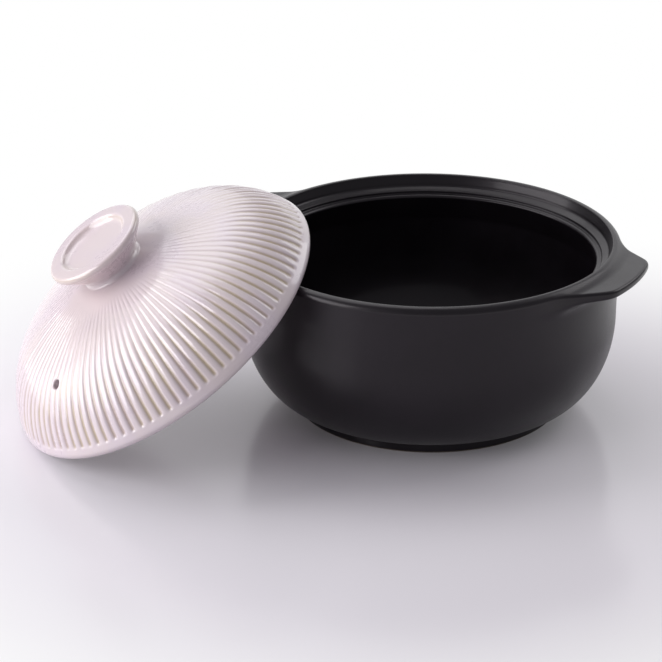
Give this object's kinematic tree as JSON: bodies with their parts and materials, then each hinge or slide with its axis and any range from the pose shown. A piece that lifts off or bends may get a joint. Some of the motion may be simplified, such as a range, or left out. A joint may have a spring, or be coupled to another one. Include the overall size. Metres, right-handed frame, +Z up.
{
  "type": "ceramic pot",
  "caption": "Round ceramic casserole pot with two lug handles and a seat for its lid; the fluted domed lid with a dished knob is off and leans on the rim.",
  "frame": {"origin": "middle of the flat foot, on the table", "axes": "+Z up along the pot's axis, +X through the two lug handles"},
  "size_m": [0.3719, 0.3277, 0.1441],
  "materials": {
    "pot_glaze": "black satin glaze over fired clay",
    "lid_glaze": "glossy pale lavender glaze, tan where it pools in the flutes"
  },
  "bodies": {
    "root": {"pot": "pot_glaze", "lid": "lid_glaze"}
  },
  "joints": []
}
